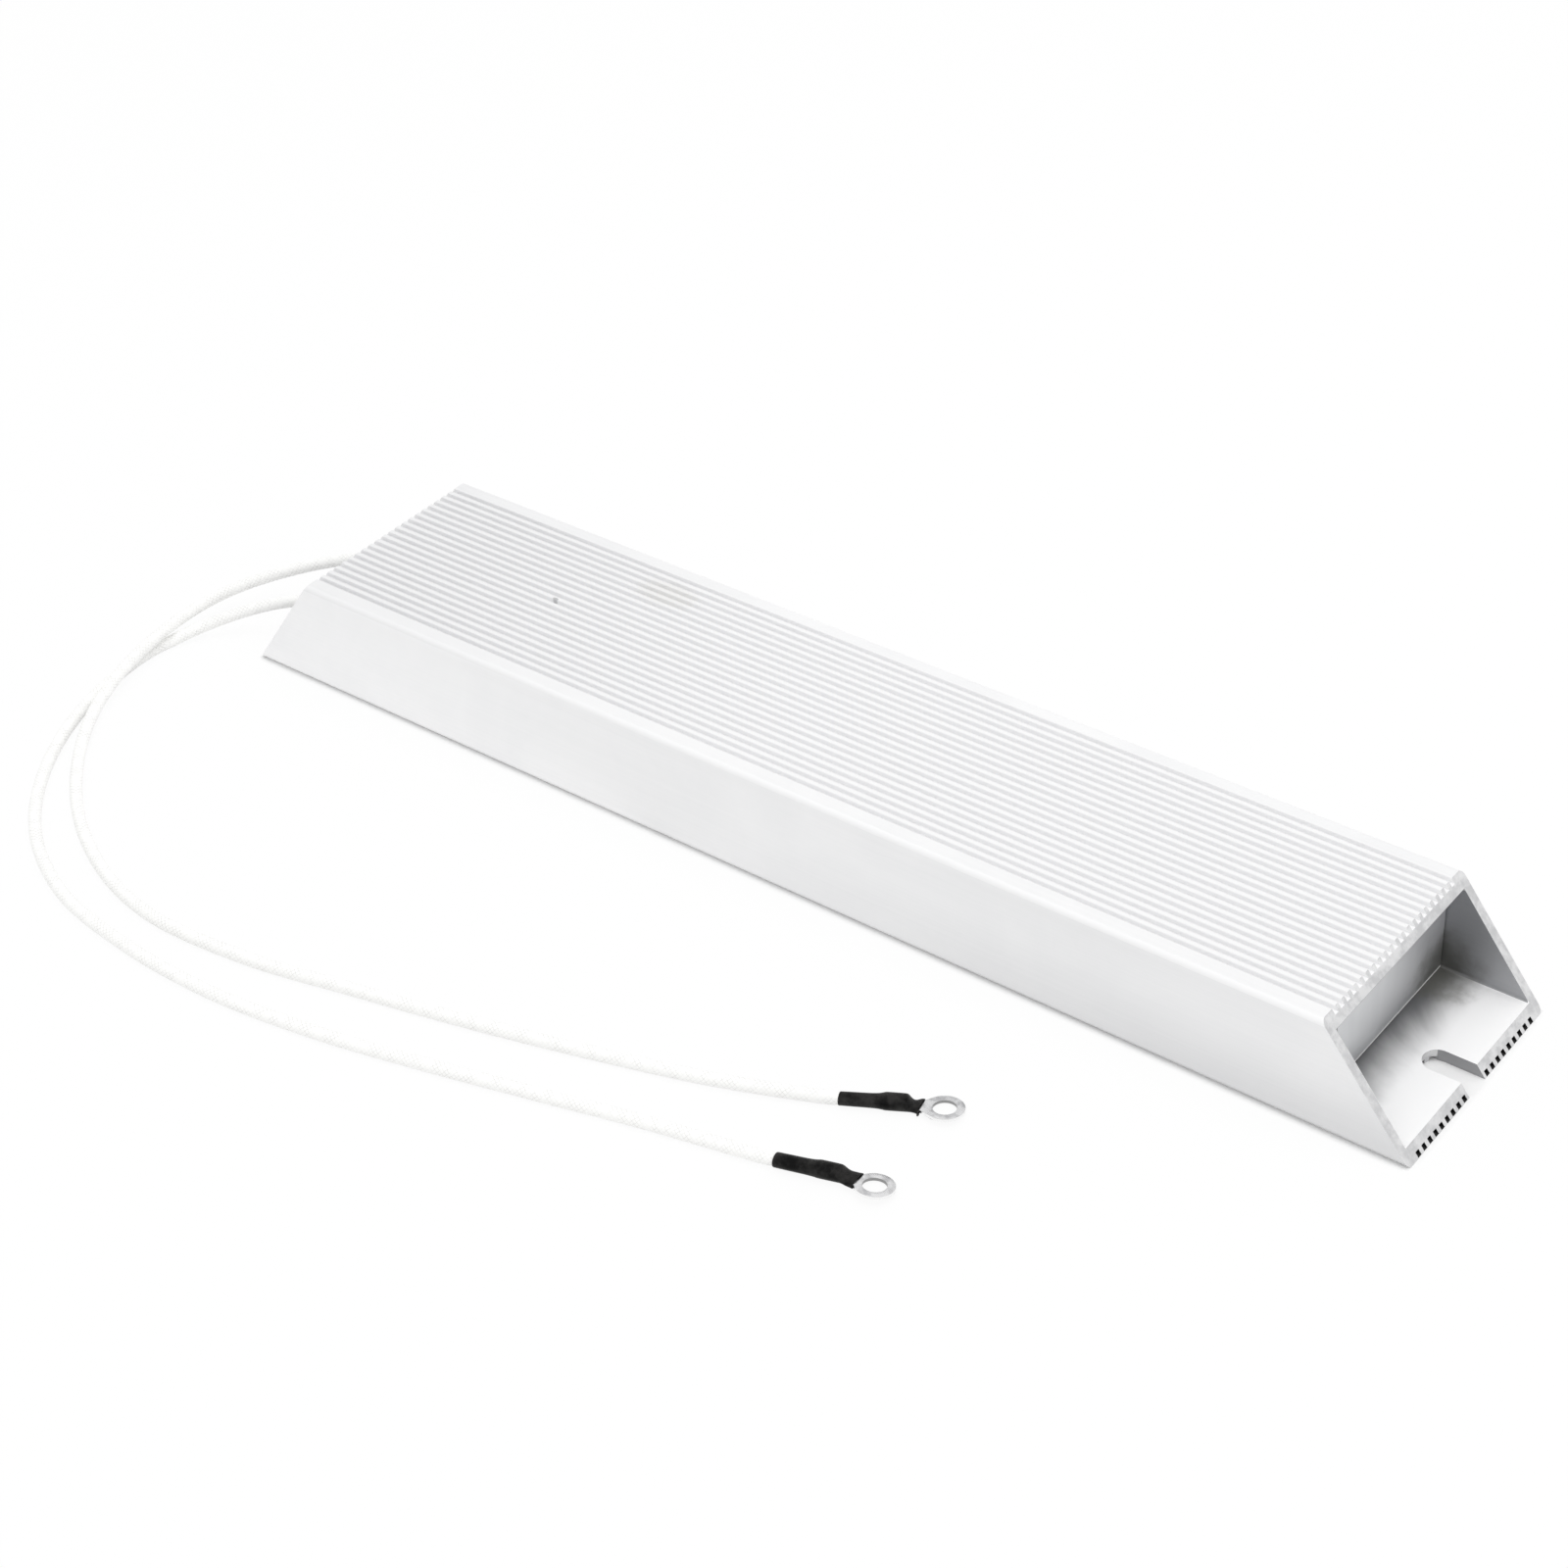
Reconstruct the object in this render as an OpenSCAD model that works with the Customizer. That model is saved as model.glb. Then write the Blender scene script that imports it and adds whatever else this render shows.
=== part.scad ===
// Aluminium housed power resistor, 500 W size: a ribbed hollow extrusion with
// mitred ends, two wound ceramic rods in series cast in sand, and two
// glass-braid leads with ring terminals leaving one end.
// X runs along the housing, Z is up, and the base rests on Z = 0.

/* [Housing] */
// Length of the base, end to end
body_len = 335; // [300:1:400]
// Width of the extrusion
body_w = 60; // [56:1:80]
// Height of the extrusion
body_h = 30; // [28:1:40]
// How far each end leans back from base to top
end_run = 22.3; // [8:0.1:23]
// Thickness of the side walls
wall_side = 2.5; // [1.5:0.1:4]
// Thickness of the top, ribs included
wall_top = 3.1; // [2.4:0.1:4]
// Thickness of the base, ribs included
wall_base = 3.1; // [2.4:0.1:4]
// Radius of the long outer edges
edge_r = 1.6; // [0.5:0.1:2.2]
// Radius of the long inner corners
inner_r = 0.8; // [0.3:0.1:1.5]

/* [Ribs] */
// Grooves across the top, and as many across the base
groove_count = 21; // [9:2:21]
// Distance between neighbouring grooves
groove_pitch = 2.5; // [2:0.1:2.5]
// Width of one groove
groove_w = 1.3; // [0.8:0.1:1.5]
// Depth of one groove
groove_depth = 1.2; // [0.5:0.1:1.4]
// Bevel on each rib's edges
groove_lip = 0.15; // [0.05:0.05:0.2]

/* [Mounting slots] */
// Width of the open slot in each foot
slot_w = 7; // [5:0.5:9]
// Depth of the slot, from the end of the base
slot_depth = 13; // [9:0.5:18]

/* [End plates] */
// How far the plates sit in from the ends of the base
plate_recess = 23.5; // [23.5:0.5:26]
// Thickness of an end plate
plate_t = 2.5; // [1.5:0.5:4]
// Gap all round between a plate and the housing
plate_gap = 0.1; // [0.05:0.05:0.3]
// Bevel round a plate's outer face
plate_bevel = 0.4; // [0.2:0.1:0.8]

/* [Wound elements] */
// Distance from a rod's axis to the side wall
rod_edge = 15.5; // [14:0.5:17]
// Diameter of a ceramic rod
rod_d = 14; // [12:0.5:16]
// Diameter of the hole through a rod
rod_bore = 6; // [3:0.5:7]
// Room for studs and splices between the lead-end plate and the caps
lead_room = 31.3; // [20:0.1:60]
// Width of the resistance ribbon
ribbon_w = 4; // [2:0.5:5]
// Thickness of the resistance ribbon
ribbon_t = 0.6; // [0.3:0.1:0.8]
// Distance between turns of the ribbon
ribbon_pitch = 8; // [8:0.5:12]
// Sheet thickness of the metal end caps
cap_wall = 0.8; // [0.5:0.1:1]
// How far a cap reaches over its rod
cap_grip = 5; // [3:0.5:8]
// Thickness of the link that joins the rods
link_t = 1; // [0.5:0.1:2]
// Width of the link
link_w = 10; // [6:0.5:14]

/* [Leads] */
// Diameter over the glass braid
lead_d = 3.2; // [2.4:0.1:3.6]
// Diameter of the lead where the heat-shrink squeezes it
lead_pinch_d = 2.8; // [2.2:0.1:2.8]
// Diameter of the stranded conductor
conductor_d = 1.8; // [1.2:0.1:2]
// Diameter of the bushing that passes through the plate
bushing_d = 6; // [5:0.1:7]
// Diameter of the bushing's collar
collar_d = 8.5; // [7.5:0.1:10]
// Thickness of the bushing's collar
collar_t = 1.5; // [1:0.1:3]
// Diameter of a crimped splice
splice_d = 4.4; // [3.6:0.1:5]
// Length of a crimped splice
splice_len = 14; // [10:0.5:16]
// How far a conductor goes into its splice
splice_grip = 6; // [3:0.5:7]
// Length of covered lead between the plate and its splice
splice_in = 1; // [0.5:0.5:4]

/* [Ring terminals] */
// Diameter of the ring
ring_d = 8.8; // [8.2:0.1:10]
// Diameter of the stud hole
hole_d = 5.3; // [4.3:0.1:5.5]
// Thickness of the ring
ring_t = 0.8; // [0.6:0.1:1]
// Width of the neck between ring and barrel
neck_w = 3.4; // [2.8:0.1:3.6]
// Distance from the ring's centre to the barrel
neck_len = 6.8; // [6.4:0.1:8]
// Diameter of the crimped barrel
barrel_d = 3.4; // [3.2:0.1:3.8]
// Length of the crimped barrel
barrel_len = 5; // [4:0.5:7]

/* [Heat-shrink] */
// Length of the sleeve along the lead
sleeve_len = 17.2; // [15:0.1:24]
// Wall of the shrunk sleeve
sleeve_wall = 0.25; // [0.2:0.05:0.4]
// Distance from the ring's centre to the sleeve's mouth
sleeve_front = 5.4; // [5.2:0.1:5.8]
// Thickness of the sleeve under the neck, which holds the ring up
ring_lift = 0.2; // [0.15:0.05:0.25]

/* [Hidden] */
$fn = 48;

// Clearance left between parts that seat in one another
fit_gap = 0.05;
// Overshoot that lets a cutter pass clean through
over = 1;
// Thickness of a hull's end section
skin = 0.1;

// Housing places
end_x = body_len/2;
cavity_w = body_w - 2*wall_side;
cavity_h = body_h - wall_top - wall_base;
axis_z = wall_base + cavity_h/2;
plate_x = end_x - plate_recess;
fill_x = plate_x - plate_t;

// Places along the rods, from the plain end (+X) to the lead end (-X)
rod_pitch = cavity_w - 2*rod_edge;
link_x = fill_x - 2*link_t;
cap_plain_x = link_x - cap_wall;
rod_plain_x = cap_plain_x - fit_gap;
cap_lead_x = -fill_x + lead_room;
rod_lead_x = cap_lead_x + cap_wall + fit_gap;
rod_len = rod_plain_x - rod_lead_x;
cap_d = rod_d + 2*fit_gap + 2*cap_wall;

// The ribbon is laid in straight chords that touch the rod at their middles
wind_sides = 12;
wind_start = rod_plain_x - cap_grip - ribbon_w/2;
wind_len = rod_len - 2*cap_grip - ribbon_w;
wind_turns = round(wind_len/ribbon_pitch);
wind_r = rod_d/2/cos(180/wind_sides);
pocket_d = 2*max(wind_r + ribbon_t, cap_d/2) + 2*fit_gap;

// Places along the lead ends
exit_x = -plate_x - collar_t;
splice_x = -fill_x + splice_in;
stud_len = cap_lead_x - (splice_x + splice_len) + splice_grip;

// Terminal places, measured from the base's lead end: [x, y], the way the
// ring points, and the bend between ring and barrel
term_back = [246.5, -70];
term_front = [247.5, -97];
head_back = 28;
head_front = 27;
bend_back = 0;
bend_front = 14;

// The neck leaves the ring at one distance from its centre and is at its
// narrowest at another; the tongue under the barrel is narrower still
neck_from = 2;
neck_end = 0.7;
neck_to = neck_len - neck_end;
tongue_end = 0.35;
tongue_from = neck_len - tongue_end;
tongue_w = 1;
tongue_in = 0.4;

// The sleeve lies on the floor; behind the barrel it slopes down to the lead
sleeve_z = barrel_d/2 + sleeve_wall;
bulge_slope = 2;
sleeve_back = sleeve_len - (neck_len - sleeve_front);
sleeve_d = lead_pinch_d + 2*fit_gap + 2*sleeve_wall;
bulge_d = barrel_d + 2*sleeve_wall;

// Middles of the two leads, measured from the base's lead end at floor height.
// The first and last points come from the bushing and the heat-shrink.
lead_r = lead_d/2;
route_back = [[-3, 1, 11.5], [-22.5, -20, 6.2], [-22.5, -49, 5.4], [-14.5, -75, 2.8],
              [4.5, -98, 0], [29, -114, 0], [55.5, -121.5, 0], [85.5, -120, 0],
              [114, -114, 0], [142.5, -107.5, 0], [171, -100, 0], [199, -91.5, 0]];
route_front = [[-3.5, -19.5, 9.5], [-23, -38.5, 1.8], [-22, -66.5, 0], [-11, -92.5, 0],
               [7.5, -114, 0], [32, -127.5, 0], [60, -132.5, 0], [88, -133, 0],
               [116, -129.5, 0], [143.5, -123.5, 0], [171, -116.5, 0], [198, -109.5, 0]];
// Cross-sections between two route points, and sides of the swept tube
lead_steps = 3;
lead_sides = 8;
// Length over which a lead leaves its bushing straight
lead_in = 14;
// Length over which it runs straight into its heat-shrink
lead_out = 28;

// ---- shared shapes ----

// Stands a flat outline (Y across, Z up) along X
module along_x(len) rotate([90, 0, 90]) linear_extrude(len) children();

// A rectangle with round corners, centred across and standing on zero
module round_rect(w, h, r) {
    translate([-w/2 + r, 0]) square([w - 2*r, h]);
    translate([-w/2, r]) square([w, h - 2*r]);
    for (x = [-w/2 + r, w/2 - r], y = [r, h - r]) translate([x, y]) circle(r = r);
}

// A solid round bar along +X
module bar_x(d, len) rotate([0, 90, 0]) cylinder(d = d, h = len);

// Puts its children on the axis of the back (side = 1) or front (side = -1) rod
module on_rod(side) translate([0, side*rod_pitch/2, axis_z]) children();

// ---- housing ----

// One groove with bevelled lips, open upwards and cut down from zero
module groove() polygon([[-groove_w/2 - groove_lip - over, over],
                         [-groove_w/2 - groove_lip, 0],
                         [-groove_w/2, -groove_lip],
                         [-groove_w/2, -groove_depth],
                         [groove_w/2, -groove_depth],
                         [groove_w/2, -groove_lip],
                         [groove_w/2 + groove_lip, 0],
                         [groove_w/2 + groove_lip + over, over]]);

module groove_row() for (i = [0:groove_count - 1])
    translate([(i - (groove_count - 1)/2)*groove_pitch, 0]) groove();

module housing_section() difference() {
    round_rect(body_w, body_h, edge_r);
    translate([0, wall_base]) round_rect(cavity_w, cavity_h, inner_r);
    translate([0, body_h]) groove_row();
    mirror([0, 1]) groove_row();
}

// The side view of the housing, as thick as it is wide and more
module mitred_blank() rotate([90, 0, 0]) translate([0, 0, -body_w])
    linear_extrude(2*body_w) polygon([[-end_x, 0], [end_x, 0],
                                      [end_x - end_run, body_h],
                                      [end_run - end_x, body_h]]);

// A round-bottomed slot, open at the end of the base
module foot_slot() translate([end_x - slot_depth + slot_w/2, 0, -over])
    linear_extrude(wall_base + 2*over) {
        circle(d = slot_w);
        translate([0, -slot_w/2]) square([slot_depth, slot_w]);
    }

module housing() color("gainsboro") difference() {
    intersection() {
        translate([-end_x, 0, 0]) along_x(body_len) housing_section();
        mitred_blank();
    }
    foot_slot();
    mirror([1, 0, 0]) foot_slot();
}

// ---- end plates and bushings ----

// A plate with its bevelled face towards +X, its back at x = 0
module plate_blank() {
    w = cavity_w - 2*plate_gap;
    h = cavity_h - 2*plate_gap;
    b = plate_bevel;
    translate([0, 0, wall_base + plate_gap]) intersection() {
        along_x(plate_t) round_rect(w, h, inner_r);
        translate([0, w/2, 0]) rotate([90, 0, 0]) linear_extrude(w)
            polygon([[0, 0], [plate_t - b, 0], [plate_t, b],
                     [plate_t, h - b], [plate_t - b, h], [0, h]]);
        linear_extrude(h)
            polygon([[0, -w/2], [plate_t - b, -w/2], [plate_t, b - w/2],
                     [plate_t, w/2 - b], [plate_t - b, w/2], [0, w/2]]);
    }
}

module end_plate_plain() color("silver") translate([fill_x, 0, 0]) plate_blank();

module end_plate_lead() color("silver") difference() {
    translate([-fill_x, 0, 0]) mirror([1, 0, 0]) plate_blank();
    for (side = [-1, 1]) translate([-plate_x - over, 0, 0])
        on_rod(side) bar_x(bushing_d + 2*fit_gap, plate_t + 2*over);
}

module bushing(side) color("ivory") on_rod(side) difference() {
    union() {
        translate([-plate_x, 0, 0]) bar_x(bushing_d, plate_t);
        translate([exit_x, 0, 0]) bar_x(collar_d, collar_t);
    }
    translate([exit_x - over, 0, 0]) bar_x(lead_d + 2*fit_gap, plate_t + collar_t + 2*over);
}
module bushing_back() bushing(1);
module bushing_front() bushing(-1);

// ---- wound elements ----

module rod(side) color("white") on_rod(side) translate([rod_lead_x, 0, 0]) difference() {
    bar_x(rod_d, rod_len);
    translate([-over, 0, 0]) bar_x(rod_bore, rod_len + 2*over);
}
module rod_back() rod(1);
module rod_front() rod(-1);

// The ribbon's four corners after k chords of the winding
function ribbon_ring(k) =
    let (a = 360*k/wind_sides, x = wind_start - wind_len*k/(wind_sides*wind_turns))
    [for (c = [[-1, 0], [1, 0], [1, ribbon_t], [-1, ribbon_t]])
        [x + c.x*ribbon_w/2, (wind_r + c.y)*cos(a), (wind_r + c.y)*sin(a)]];

// A skin over n rings of m points each, closed at both ends
function tube_skin(n, m) = concat(
    [[for (j = [0:m - 1]) j]],
    [for (i = [0:n - 2], j = [0:m - 1]) each
        [[i*m + j, (i + 1)*m + j, (i + 1)*m + (j + 1)%m],
         [i*m + j, (i + 1)*m + (j + 1)%m, i*m + (j + 1)%m]]],
    [[for (j = [m - 1:-1:0]) (n - 1)*m + j]]);

module winding(side) color("dimgray") on_rod(side) {
    chords = wind_sides*wind_turns;
    polyhedron([for (k = [0:chords]) each ribbon_ring(k)], tube_skin(chords + 1, 4));
}
module winding_back() winding(1);
module winding_front() winding(-1);

// A pressed cup, its floor at x = 0 and its rim towards +X
module cap_cup() difference() {
    bar_x(cap_d, cap_wall + fit_gap + cap_grip);
    translate([cap_wall, 0, 0]) bar_x(cap_d - 2*cap_wall, cap_grip + over);
}
module cap_plain(side) color("lightsteelblue") on_rod(side)
    translate([link_x, 0, 0]) mirror([1, 0, 0]) cap_cup();
module cap_lead(side) color("lightsteelblue") on_rod(side)
    translate([cap_lead_x, 0, 0]) cap_cup();
module cap_back_plain() cap_plain(1);
module cap_front_plain() cap_plain(-1);
module cap_back_lead() cap_lead(1);
module cap_front_lead() cap_lead(-1);

// A flat strip with round ends, on the floors of both plain caps
module link_blank(gap) translate([link_x, 0, axis_z]) along_x(link_t + gap) {
    for (side = [-1, 1]) translate([side*rod_pitch/2, 0]) circle(d = link_w + 2*gap);
    translate([-rod_pitch/2, -link_w/2 - gap]) square([rod_pitch, link_w + 2*gap]);
}
module series_link() color("silver") link_blank(0);

module stud(side) color("silver") on_rod(side)
    translate([cap_lead_x - stud_len, 0, 0]) bar_x(conductor_d, stud_len);
module stud_back() stud(1);
module stud_front() stud(-1);

// A crimp tube with a stop left in its middle
module splice(side) color("goldenrod") on_rod(side) translate([splice_x, 0, 0]) difference() {
    bar_x(splice_d, splice_len);
    translate([-over, 0, 0]) bar_x(conductor_d + 2*fit_gap, splice_grip + over);
    translate([splice_len - splice_grip, 0, 0])
        bar_x(conductor_d + 2*fit_gap, splice_grip + over);
}
module splice_back() splice(1);
module splice_front() splice(-1);

// The covered stretch of a lead, from the bushing's face to its splice
module lead_tail(side) color("ivory") on_rod(side) translate([exit_x, 0, 0]) {
    bar_x(lead_d, splice_x - exit_x);
    bar_x(conductor_d, splice_x - exit_x + splice_grip);
}
module lead_tail_back() lead_tail(1);
module lead_tail_front() lead_tail(-1);

// The cast sand round both elements, with a pocket for each thing in it
module sand_fill() color("tan") difference() {
    translate([-fill_x, 0, wall_base]) along_x(2*fill_x) round_rect(cavity_w, cavity_h, inner_r);
    link_blank(fit_gap);
    for (side = [-1, 1]) on_rod(side) {
        translate([cap_lead_x, 0, 0]) bar_x(pocket_d, link_x + fit_gap - cap_lead_x);
        translate([cap_lead_x - stud_len, 0, 0]) bar_x(conductor_d + 2*fit_gap, stud_len + over);
        translate([splice_x, 0, 0]) bar_x(splice_d + 2*fit_gap, splice_len);
        translate([-fill_x - over, 0, 0]) bar_x(lead_d + 2*fit_gap, splice_x + fill_x + 2*over);
    }
}

// ---- ring terminals ----

// Puts its children at a terminal: ring centre at zero, pointing along +X
module at_ring(place, heading) translate([place.x - end_x, place.y, 0])
    rotate([0, 0, heading]) children();

// Puts its children at a barrel's front end, lead running off along -X
module at_barrel(bend) translate([-neck_len, 0, sleeve_z]) rotate([0, 0, -bend]) children();

// The neck's half width at a distance x behind the ring's centre
function neck_half(x) =
    let (y = sqrt(pow(ring_d/2, 2) - pow(neck_from, 2)))
    y + (neck_w/2 - y)*(x - neck_from)/(neck_to - neck_from);

// The stamped terminal without its stud hole and wire bore: a ring and its
// neck, with a narrow tongue that runs in under the barrel
module terminal_blank(bend) {
    translate([0, 0, ring_lift]) linear_extrude(ring_t) {
        circle(d = ring_d);
        polygon([for (side = [1, -1], p = [[neck_from, neck_half(neck_from)],
                                           [neck_to, neck_w/2],
                                           [tongue_from, tongue_w/2],
                                           [neck_len + tongue_in, tongue_w/2]])
                 [-p.x, side*p.y]], [[0, 1, 2, 3, 7, 6, 5, 4]]);
    }
    at_barrel(bend) translate([-barrel_len, 0, 0]) bar_x(barrel_d, barrel_len);
}

module ring_terminal(place, heading, bend) color("gainsboro")
    at_ring(place, heading) difference() {
        terminal_blank(bend);
        cylinder(d = hole_d, h = ring_lift + ring_t + over);
        at_barrel(bend) translate([-barrel_len - over, 0, 0])
            bar_x(conductor_d + 2*fit_gap, barrel_len + 2*over);
    }
module ring_terminal_back() ring_terminal(term_back, head_back, bend_back);
module ring_terminal_front() ring_terminal(term_front, head_front, bend_front);

// ---- heat-shrink ----

// One thin round-cornered section of the sleeve's front, standing on zero
module sleeve_section(x, w, h) translate([x, 0, 0]) along_x(skin) round_rect(w, h, ring_t/2);

// The section where the sleeve is pressed in behind the ring
module sleeve_pinch() {
    x = (neck_len + sleeve_front)/2;
    sleeve_section(-x, 2*neck_half(x) + 2*sleeve_wall, (ring_t + 2*ring_lift + bulge_d)/2);
}

// The outside of a sleeve: round on the lead, a bulge over the barrel, then
// pressed in and flattened round the neck
module sleeve_outside(bend) {
    at_barrel(bend) {
        translate([-sleeve_back, 0, 0]) bar_x(sleeve_d, sleeve_back);
        translate([-barrel_len - bulge_slope, 0, 0]) rotate([0, 90, 0])
            cylinder(d1 = sleeve_d, d2 = bulge_d, h = bulge_slope);
        translate([-barrel_len, 0, 0]) bar_x(bulge_d, barrel_len);
    }
    hull() {
        at_barrel(bend) translate([-skin, 0, 0]) rotate([0, 90, 0])
            cylinder(d = bulge_d - skin, h = 2*skin, $fn = 32);
        sleeve_pinch();
    }
    hull() {
        sleeve_pinch();
        sleeve_section(-sleeve_front - skin, 2*neck_half(sleeve_front) + 2*sleeve_wall,
                       ring_t + 2*ring_lift);
    }
}

module heat_shrink(place, heading, bend) color("#1d1d1f")
    at_ring(place, heading) difference() {
        sleeve_outside(bend);
        terminal_blank(bend);
        at_barrel(bend) translate([-sleeve_back - over, 0, 0])
            bar_x(lead_pinch_d + 2*fit_gap, sleeve_back - barrel_len + over);
    }
module heat_shrink_back() heat_shrink(term_back, head_back, bend_back);
module heat_shrink_front() heat_shrink(term_front, head_front, bend_front);

// ---- free leads ----

function heading_dir(a) = [cos(a), sin(a), 0];
function in_frame(p) = [p.x - end_x, p.y, max(p.z, lead_r)];

// Where a lead enters its heat-shrink
function sleeve_end(place, heading, bend) =
    [place.x - end_x, place.y, sleeve_z] - neck_len*heading_dir(heading)
    - sleeve_back*heading_dir(heading - bend);

// A smooth curve through p[i] and p[i + 1], held up by the floor
function spline_at(p, i, t) =
    let (a = p[i - 1], b = p[i], c = p[i + 1], d = p[i + 2],
         q = 0.5*(2*b + (c - a)*t + (2*a - 5*b + 4*c - d)*t*t + (3*b - a - 3*c + d)*t*t*t))
    [q.x, q.y, max(q.z, lead_r)];

// Middles of the cross-sections, from the bushing to the heat-shrink
function lead_line(side, route, place, heading, bend) =
    let (start = [exit_x, side*rod_pitch/2, axis_z],
         stop = sleeve_end(place, heading, bend),
         p = concat([start + [lead_in, 0, 0], start], [for (r = route) in_frame(r)],
                    [stop, stop + lead_out*heading_dir(heading - bend)]))
    concat([for (i = [1:len(p) - 3], k = [0:lead_steps - 1]) spline_at(p, i, k/lead_steps)],
           [stop]);

// The way a line runs at its i-th point: square to the bushing at its start,
// and to the heat-shrink, which faces stop_dir, at its end
function line_dir(line, i, stop_dir) = i == 0 ? [-1, 0, 0]
    : i == len(line) - 1 ? stop_dir : line[i + 1] - line[i - 1];

// One ring of a tube round a point, square to the way the tube runs there
function lead_ring(middle, along) =
    let (ahead = along/norm(along), side = cross(ahead, [0, 0, 1]), left = side/norm(side),
         top = cross(left, ahead))
    [for (j = [0:lead_sides - 1])
        let (a = 360*j/lead_sides) middle + lead_r*(cos(a)*top + sin(a)*left)];

module lead(side, route, place, heading, bend) color("ivory") {
    line = lead_line(side, route, place, heading, bend);
    stop_dir = heading_dir(heading - bend);
    polyhedron([for (i = [0:len(line) - 1]) each lead_ring(line[i], line_dir(line, i, stop_dir))],
               tube_skin(len(line), lead_sides));
    at_ring(place, heading) at_barrel(bend) {
        translate([-sleeve_back, 0, 0]) bar_x(lead_pinch_d, sleeve_back - barrel_len);
        translate([-sleeve_back, 0, 0]) bar_x(conductor_d, sleeve_back);
    }
}
module lead_back() lead(1, route_back, term_back, head_back, bend_back);
module lead_front() lead(-1, route_front, term_front, head_front, bend_front);

housing();
end_plate_plain();
end_plate_lead();
bushing_back();
bushing_front();
rod_back();
rod_front();
winding_back();
winding_front();
cap_back_plain();
cap_front_plain();
cap_back_lead();
cap_front_lead();
series_link();
stud_back();
stud_front();
splice_back();
splice_front();
lead_tail_back();
lead_tail_front();
sand_fill();
lead_back();
lead_front();
ring_terminal_back();
ring_terminal_front();
heat_shrink_back();
heat_shrink_front();
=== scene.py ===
import math

import bmesh
import bpy
from mathutils import Matrix, Vector


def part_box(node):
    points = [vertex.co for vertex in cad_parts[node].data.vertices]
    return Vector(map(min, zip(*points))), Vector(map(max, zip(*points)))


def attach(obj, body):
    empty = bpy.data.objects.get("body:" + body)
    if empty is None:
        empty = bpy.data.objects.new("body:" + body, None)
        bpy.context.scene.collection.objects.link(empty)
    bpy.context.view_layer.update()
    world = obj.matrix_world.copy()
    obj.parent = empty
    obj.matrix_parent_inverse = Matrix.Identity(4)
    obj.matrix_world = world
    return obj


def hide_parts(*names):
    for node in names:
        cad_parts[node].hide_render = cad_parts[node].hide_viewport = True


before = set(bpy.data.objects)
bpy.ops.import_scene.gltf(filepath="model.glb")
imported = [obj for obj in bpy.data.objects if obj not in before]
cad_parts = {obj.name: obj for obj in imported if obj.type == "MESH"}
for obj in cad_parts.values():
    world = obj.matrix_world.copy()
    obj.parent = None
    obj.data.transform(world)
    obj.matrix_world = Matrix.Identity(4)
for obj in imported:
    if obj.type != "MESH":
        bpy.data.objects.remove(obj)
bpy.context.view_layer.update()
mm = 0.001
bpy.ops.object.select_all(action="DESELECT")
print("frame loaded:", len(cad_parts), "nodes")


# ---- camera ----

view = {"azimuth": 39.8, "elevation": 37.05, "roll": -3.62, "distance": 0.7566,
        "target": (-0.0202, 0.0027, 0.0), "lens": 71.46, "sensor": 36.0}


def placeCamera(place):
    turn, lift, roll = (math.radians(place[key]) for key in ("azimuth", "elevation", "roll"))
    back = Vector((math.sin(turn)*math.cos(lift), -math.cos(turn)*math.cos(lift), math.sin(lift)))
    right = Vector((math.cos(turn), math.sin(turn), 0))
    up = back.cross(right)
    across = right*math.cos(roll) + up*math.sin(roll)
    upright = up*math.cos(roll) - right*math.sin(roll)
    data = bpy.data.cameras.new("camera")
    data.lens, data.sensor_width = place["lens"], place["sensor"]
    data.clip_start, data.clip_end = 0.01, 30
    camera = bpy.data.objects.new("camera", data)
    bpy.context.scene.collection.objects.link(camera)
    turned = Matrix((across, upright, back)).transposed().to_4x4()
    camera.matrix_world = Matrix.Translation(Vector(place["target"]) + back*place["distance"]) @ turned
    bpy.context.scene.camera = camera


placeCamera(view)
print("camera placed")


# ---- places shared by leads and terminals ----

# Each route runs from the bushing to the heat-shrink. The x of a route or ring is measured from the base's
# lead end. Headings, rolls and turns are in degrees, and a neck is given by where it starts and ends.
terminals = {
    "back": {"ring": (0.24641, -0.06982), "heading": 28.8, "sleeveHeading": 28.8, "roll": 8,
             "bushing": "bushing_back", "reach": 7.8*mm, "sleeveBack": 14.8*mm, "sleeveDiameter": 3.1*mm,
             "mouth": 5.1*mm, "mouthTurn": 14.5, "pinch": 3.5*mm, "neck": (2.0*mm, 5.9*mm),
             "route": [(-0.003, 0.001, 0.0115), (-0.0225, -0.020, 0.0062), (-0.0225, -0.049, 0.0054),
                       (-0.0145, -0.075, 0.0028), (0.0045, -0.098, 0), (0.029, -0.114, 0),
                       (0.0555, -0.1215, 0), (0.0855, -0.120, 0), (0.114, -0.114, 0),
                       (0.1425, -0.1075, 0), (0.171, -0.100, 0), (0.199, -0.0915, 0)]},
    "front": {"ring": (0.24815, -0.09732), "heading": 11.5, "sleeveHeading": 17.5, "roll": 12,
              "bushing": "bushing_front", "reach": 7.5*mm, "sleeveBack": 14.7*mm, "sleeveDiameter": 3.4*mm,
              "mouth": 3.9*mm, "mouthTurn": 4, "pinch": 4.5*mm, "neck": (3.0*mm, 4.7*mm),
              "route": [(-0.0035, -0.0195, 0.0095), (-0.023, -0.0385, 0.0018), (-0.022, -0.0665, 0),
                        (-0.011, -0.0925, 0), (0.0075, -0.114, 0), (0.032, -0.1275, 0),
                        (0.060, -0.1325, 0), (0.088, -0.133, 0), (0.116, -0.1295, 0),
                        (0.1435, -0.1235, 0), (0.171, -0.1165, 0), (0.198, -0.1095, 0)]},
}
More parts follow.
